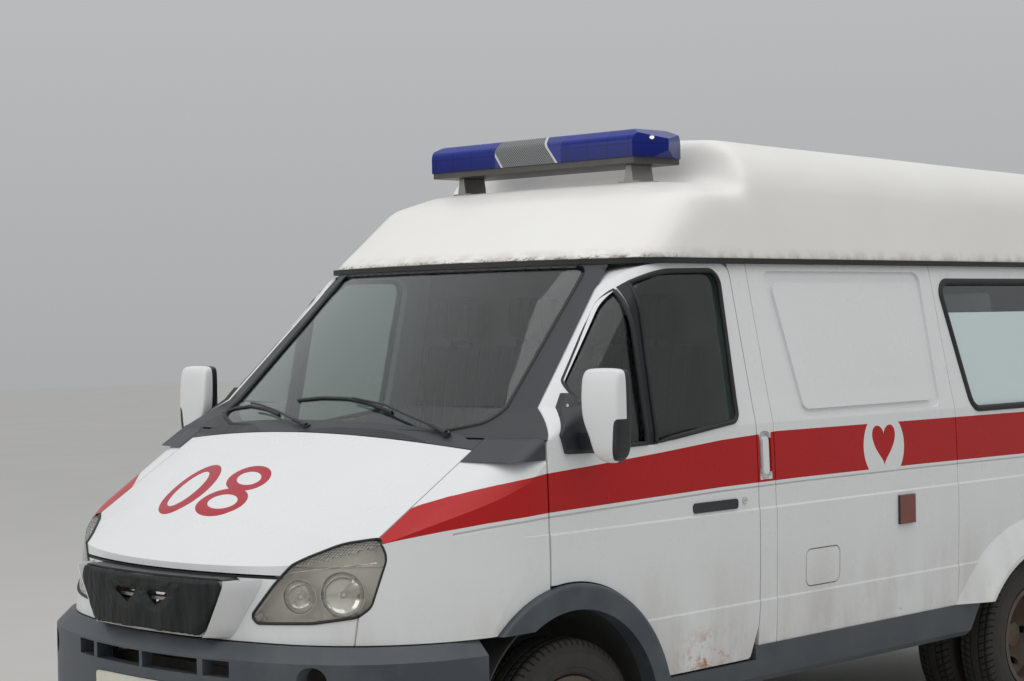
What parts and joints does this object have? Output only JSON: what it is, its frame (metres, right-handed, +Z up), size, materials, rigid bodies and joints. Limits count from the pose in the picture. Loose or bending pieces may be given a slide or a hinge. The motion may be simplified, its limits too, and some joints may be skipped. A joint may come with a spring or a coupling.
{
  "type": "ambulance",
  "caption": "van ambulance with a high stepped roof cap, light bar, opening cab doors, twin rear doors, bonnet, steering and rolling wheels",
  "frame": {"origin": "middle of the box on the ground", "axes": "+X is the vehicle's left side, -Y is its front, +Z is up"},
  "size_m": [2.344, 5.5, 2.452],
  "materials": {
    "paint": "white vehicle paint, lightly weathered",
    "chassis_steel": "black chassis paint with road dirt",
    "black_trim": "satin black moulding",
    "black_rubber": "black rubber strip",
    "grey_plastic": "dark grey grained moulding",
    "clear_glass": "clear safety glass",
    "frosted_glass": "frosted below, clear strip above",
    "grille_plastic": "light grey grille moulding",
    "vinyl": "black quilted vinyl",
    "lens": "clear lamp lens",
    "reflector": "bright lamp reflector",
    "cast_steel": "dark cast steel",
    "spring_steel": "dark spring steel",
    "bar_metal": "grey painted metal",
    "blue_lens": "blue beacon dome",
    "lamp_plastic": "red and amber lamp plastic",
    "white_plastic": "white mirror shell",
    "wheel_steel": "rusty brown wheel steel",
    "roof_gelcoat": "creamy white fibreglass",
    "tyre_rubber": "black tyre rubber",
    "floor_steel": "dark floor and wheel liners",
    "partition_board": "pale grey partition",
    "dash_plastic": "dark grey dashboard",
    "seat_cloth": "dark grey seat cloth",
    "engine_iron": "dark engine block",
    "tank_plastic": "black tank moulding",
    "exhaust_steel": "weathered exhaust steel"
  },
  "bodies": {
    "body": {"chassis_frame": "chassis_steel", "windscreen_frame": "black_trim", "cowl_panel": "black_trim", "drip_rails": "black_rubber", "front_axle": "chassis_steel", "rear_axle": "cast_steel", "front_bumper": "grey_plastic", "front_wings": "paint", "nose_panel": "paint", "grille": "grille_plastic", "grille_cover": "vinyl", "headlamp_lenses": "lens", "headlamps": "reflector", "leaf_springs": "spring_steel", "light_bar_base": "bar_metal", "light_bar_domes": "blue_lens", "lower_trims": "grey_plastic", "marker_lamps": "lamp_plastic", "roof_cap": "roof_gelcoat", "side_panel_left": "paint", "side_panel_right": "paint", "side_windows": "frosted_glass", "sliding_door": "paint", "windscreen": "clear_glass", "floor_pan": "floor_steel", "cab_partition": "partition_board", "rear_bumper": "grey_plastic", "wipers": "black_trim", "dashboard": "dash_plastic", "seats": "seat_cloth", "engine_block": "engine_iron", "fuel_tank": "tank_plastic", "exhaust": "exhaust_steel"},
    "bonnet": {"bonnet": "paint"},
    "front_door_left": {"door_front_left": "paint", "glass_front_left": "clear_glass", "mirror_left": "white_plastic"},
    "front_door_right": {"door_front_right": "paint", "glass_front_right": "clear_glass", "mirror_right": "white_plastic"},
    "rear_door_left": {"door_rear_left": "paint", "glass_rear_left": "clear_glass"},
    "rear_door_right": {"door_rear_right": "paint", "glass_rear_right": "clear_glass"},
    "fuel_flap": {"fuel_flap": "paint"},
    "knuckle_left": {"knuckle_left": "cast_steel"},
    "knuckle_right": {"knuckle_right": "cast_steel"},
    "wheel_front_left": {"rim_front_left": "wheel_steel", "tyre_front_left": "tyre_rubber"},
    "wheel_front_right": {"rim_front_right": "wheel_steel", "tyre_front_right": "tyre_rubber"},
    "wheel_rear_left": {"rims_rear_left": "wheel_steel", "tyres_rear_left": "tyre_rubber"},
    "wheel_rear_right": {"rims_rear_right": "wheel_steel", "tyres_rear_right": "tyre_rubber"}
  },
  "joints": [
    {"name": "steer_left", "type": "hinge", "parent": "body", "child": "knuckle_left", "pos_m": [0.75, -1.7, 0.342], "axis": [0, 0, 1], "range_deg": [-34, 34]},
    {"name": "steer_right", "type": "hinge", "parent": "body", "child": "knuckle_right", "pos_m": [-0.75, -1.7, 0.342], "axis": [0, 0, 1], "range_deg": [-34, 34]},
    {"name": "roll_front_left", "type": "hinge", "parent": "knuckle_left", "child": "wheel_front_left", "pos_m": [0.85, -1.7, 0.342], "axis": [1, 0, 0], "continuous": true},
    {"name": "roll_front_right", "type": "hinge", "parent": "knuckle_right", "child": "wheel_front_right", "pos_m": [-0.85, -1.7, 0.342], "axis": [1, 0, 0], "continuous": true},
    {"name": "roll_rear_left", "type": "hinge", "parent": "body", "child": "wheel_rear_left", "pos_m": [0.78, 1.2, 0.342], "axis": [1, 0, 0], "continuous": true},
    {"name": "roll_rear_right", "type": "hinge", "parent": "body", "child": "wheel_rear_right", "pos_m": [-0.78, 1.2, 0.342], "axis": [1, 0, 0], "continuous": true},
    {"name": "door_front_left_hinge", "type": "hinge", "parent": "body", "child": "front_door_left", "pos_m": [0.987, -1.827, 0.9], "axis": [0, 0, -1], "range_deg": [0, 70]},
    {"name": "door_front_right_hinge", "type": "hinge", "parent": "body", "child": "front_door_right", "pos_m": [-0.987, -1.827, 0.9], "axis": [0, 0, 1], "range_deg": [0, 70]},
    {"name": "door_rear_left_hinge", "type": "hinge", "parent": "body", "child": "rear_door_left", "pos_m": [0.881, 2.703, 1.2], "axis": [0, 0, -1], "range_deg": [0, 180]},
    {"name": "door_rear_right_hinge", "type": "hinge", "parent": "body", "child": "rear_door_right", "pos_m": [-0.881, 2.703, 1.2], "axis": [0, 0, 1], "range_deg": [0, 180]},
    {"name": "bonnet_hinge", "type": "hinge", "parent": "body", "child": "bonnet", "pos_m": [0, -1.985, 1.376], "axis": [-1, 0, 0], "range_deg": [0, 60]},
    {"name": "fuel_flap_hinge", "type": "hinge", "parent": "body", "child": "fuel_flap", "pos_m": [0.9775, -0.4345, 0.7975], "axis": [0, 0, -1], "range_deg": [0, 90]}
  ],
  "couplings": [
    {"joint": "steer_right", "follows": "steer_left", "ratio": 1}
  ]
}
